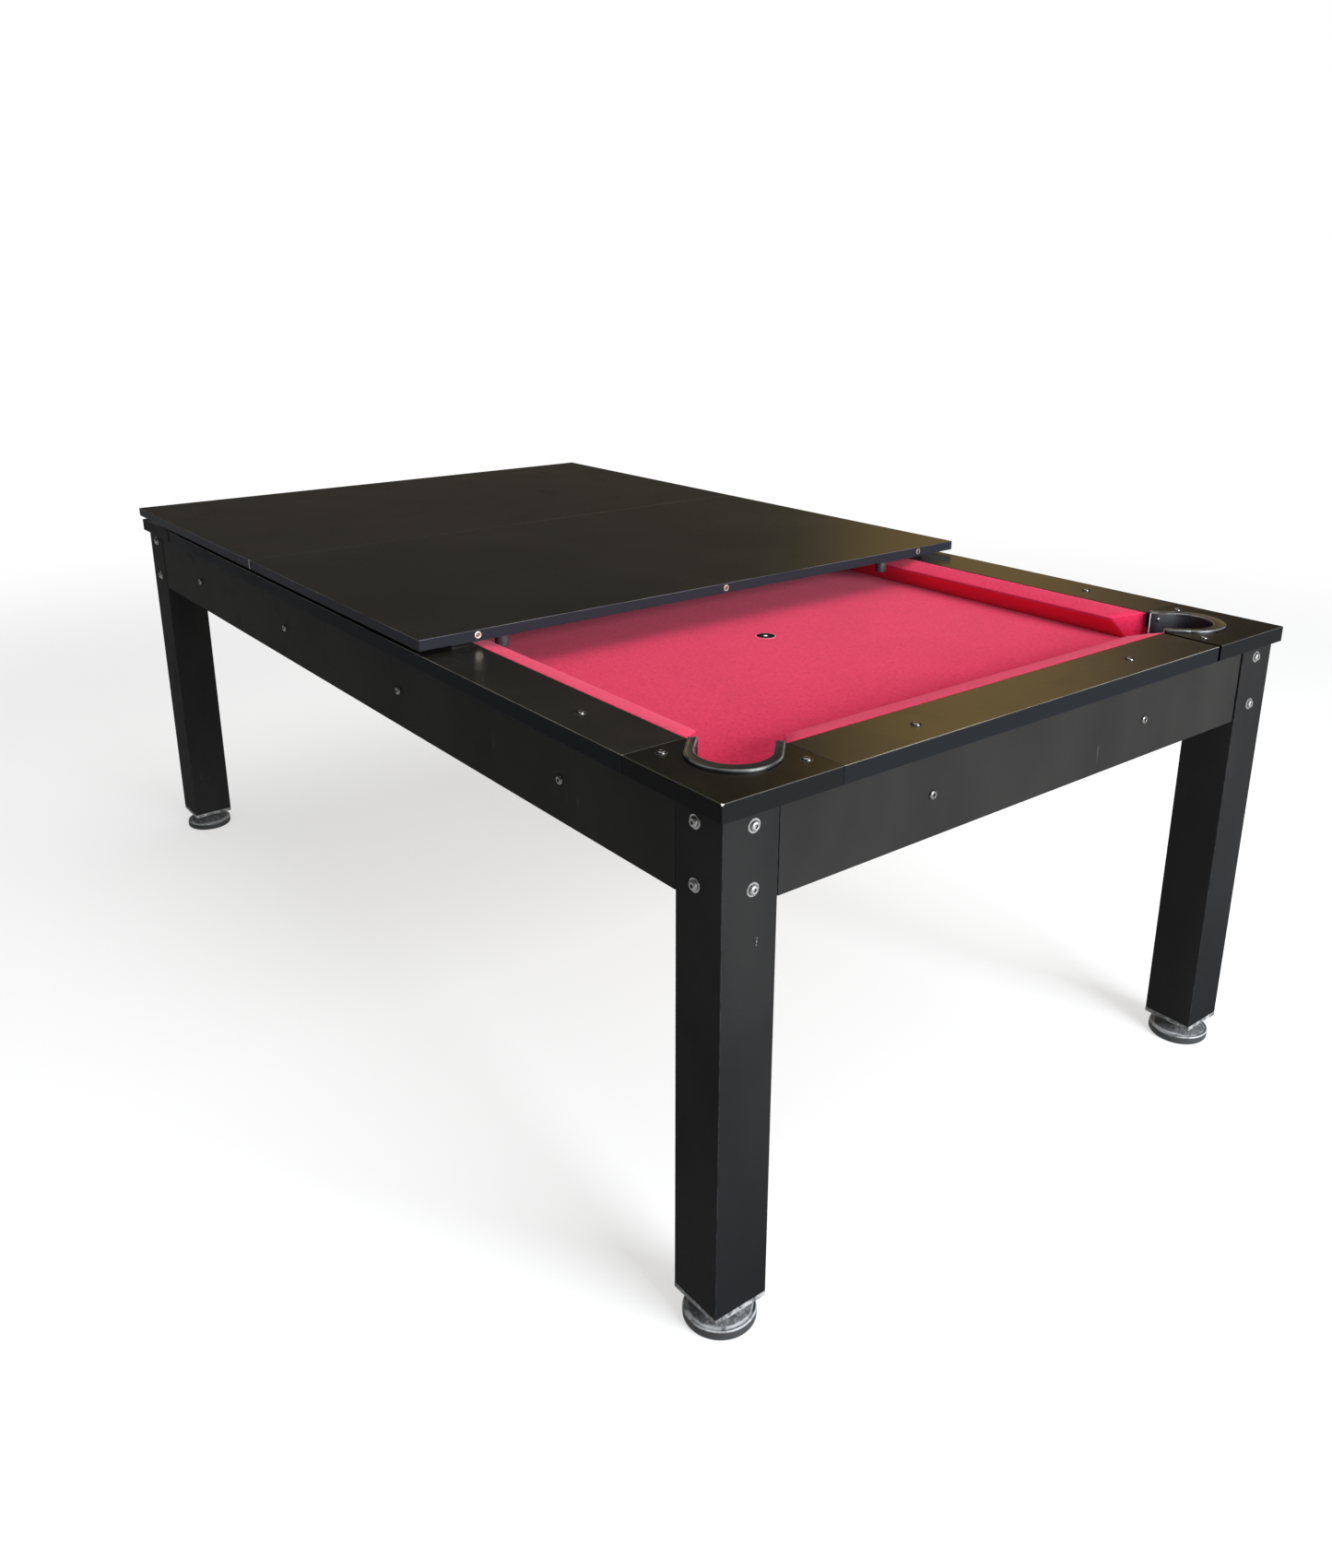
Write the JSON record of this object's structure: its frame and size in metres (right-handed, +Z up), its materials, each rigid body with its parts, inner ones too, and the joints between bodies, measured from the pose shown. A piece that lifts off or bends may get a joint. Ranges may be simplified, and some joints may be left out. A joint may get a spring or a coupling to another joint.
{
  "type": "pool table",
  "caption": "Rectangular pool table on square legs with levelling feet, red cloth bed and cushions, horseshoe pockets, and lift-off cover boards that turn it into a dining table.",
  "frame": {"origin": "on the floor under the middle of the table", "axes": "+X along the table towards the uncovered end, +Y across it, +Z up"},
  "size_m": [2.29, 1.31, 0.8635],
  "materials": {
    "painted_steel": "satin black powder coat",
    "rail_laminate": "satin black laminate on board",
    "cover_laminate": "satin black laminate on board, darker plastic edge band",
    "table_cloth": "worsted crimson cloth",
    "cushion_cloth": "the same cloth stretched over rubber",
    "bed_board": "raw fibreboard",
    "bearer_timber": "planed softwood",
    "pocket_rubber": "moulded black rubber, satin",
    "end_cap_plastic": "moulded black",
    "foot_rubber": "dusty moulded rubber",
    "plated_steel": "nickel-plated",
    "cover_foot_plastic": "moulded black"
  },
  "bodies": {
    "table": {"leg_front_left": "painted_steel", "leg_front_right": "painted_steel", "leg_back_left": "painted_steel", "leg_back_right": "painted_steel", "apron_front": "painted_steel", "apron_back": "painted_steel", "apron_left": "painted_steel", "apron_right": "painted_steel", "corner_bracket_front_left": "painted_steel", "corner_bracket_front_right": "painted_steel", "corner_bracket_back_left": "painted_steel", "corner_bracket_back_right": "painted_steel", "rail_front": "rail_laminate", "rail_back": "rail_laminate", "rail_left": "rail_laminate", "rail_right": "rail_laminate", "corner_plate_front_left": "rail_laminate", "corner_plate_front_right": "rail_laminate", "corner_plate_back_left": "rail_laminate", "corner_plate_back_right": "rail_laminate", "cushion_left": "cushion_cloth", "cushion_right": "cushion_cloth", "cushion_front_left": "cushion_cloth", "cushion_front_right": "cushion_cloth", "cushion_back_left": "cushion_cloth", "cushion_back_right": "cushion_cloth", "bed_cloth": "table_cloth", "bed": "bed_board", "bearer_1": "bearer_timber", "bearer_2": "bearer_timber", "bearer_3": "bearer_timber", "bearer_4": "bearer_timber", "pocket_liner_front_left": "pocket_rubber", "pocket_liner_front_right": "pocket_rubber", "pocket_liner_back_left": "pocket_rubber", "pocket_liner_back_right": "pocket_rubber", "pocket_liner_front_middle": "pocket_rubber", "pocket_liner_back_middle": "pocket_rubber", "leg_cap_front_left": "end_cap_plastic", "leg_cap_front_right": "end_cap_plastic", "leg_cap_back_left": "end_cap_plastic", "leg_cap_back_right": "end_cap_plastic"},
    "pad_front_left": {"foot_pad_front_left": "foot_rubber"},
    "stud_front_left": {"foot_stud_front_left": "plated_steel"},
    "pad_front_right": {"foot_pad_front_right": "foot_rubber"},
    "stud_front_right": {"foot_stud_front_right": "plated_steel"},
    "pad_back_left": {"foot_pad_back_left": "foot_rubber"},
    "stud_back_left": {"foot_stud_back_left": "plated_steel"},
    "pad_back_right": {"foot_pad_back_right": "foot_rubber"},
    "stud_back_right": {"foot_stud_back_right": "plated_steel"},
    "cover_left": {"cover_board_left": "cover_laminate", "cover_foot_left_1": "cover_foot_plastic", "cover_foot_left_2": "cover_foot_plastic", "cover_foot_left_3": "cover_foot_plastic", "cover_foot_left_4": "cover_foot_plastic"},
    "cover_middle": {"cover_board_middle": "cover_laminate", "cover_foot_middle_1": "cover_foot_plastic", "cover_foot_middle_2": "cover_foot_plastic", "cover_foot_middle_3": "cover_foot_plastic", "cover_foot_middle_4": "cover_foot_plastic"}
  },
  "joints": [
    {"name": "foot_height_front_left", "type": "slide", "parent": "table", "child": "pad_front_left", "axis": [0, 0, -1], "range_m": [0, 0.02]},
    {"name": "stud_turn_front_left", "type": "hinge", "parent": "pad_front_left", "child": "stud_front_left", "pos_m": [-1.0875, -0.5925, 0.05], "axis": [0, 0, -1], "range_deg": [0, 3600]},
    {"name": "foot_height_front_right", "type": "slide", "parent": "table", "child": "pad_front_right", "axis": [0, 0, -1], "range_m": [0, 0.02]},
    {"name": "stud_turn_front_right", "type": "hinge", "parent": "pad_front_right", "child": "stud_front_right", "pos_m": [1.0875, -0.5925, 0.05], "axis": [0, 0, -1], "range_deg": [0, 3600]},
    {"name": "foot_height_back_left", "type": "slide", "parent": "table", "child": "pad_back_left", "axis": [0, 0, -1], "range_m": [0, 0.02]},
    {"name": "stud_turn_back_left", "type": "hinge", "parent": "pad_back_left", "child": "stud_back_left", "pos_m": [-1.0875, 0.5925, 0.05], "axis": [0, 0, -1], "range_deg": [0, 3600]},
    {"name": "foot_height_back_right", "type": "slide", "parent": "table", "child": "pad_back_right", "axis": [0, 0, -1], "range_m": [0, 0.02]},
    {"name": "stud_turn_back_right", "type": "hinge", "parent": "pad_back_right", "child": "stud_back_right", "pos_m": [1.0875, 0.5925, 0.05], "axis": [0, 0, -1], "range_deg": [0, 3600]},
    {"name": "cover_lift_left", "type": "slide", "parent": "table", "child": "cover_left", "axis": [0, 0, 1], "range_m": [0, 0.3]},
    {"name": "cover_lift_middle", "type": "slide", "parent": "table", "child": "cover_middle", "axis": [0, 0, 1], "range_m": [0, 0.3]}
  ],
  "couplings": [
    {"joint": "stud_turn_front_left", "follows": "foot_height_front_left", "rad_per_m": 3141.6},
    {"joint": "stud_turn_front_right", "follows": "foot_height_front_right", "rad_per_m": 3141.6},
    {"joint": "stud_turn_back_left", "follows": "foot_height_back_left", "rad_per_m": 3141.6},
    {"joint": "stud_turn_back_right", "follows": "foot_height_back_right", "rad_per_m": 3141.6}
  ]
}
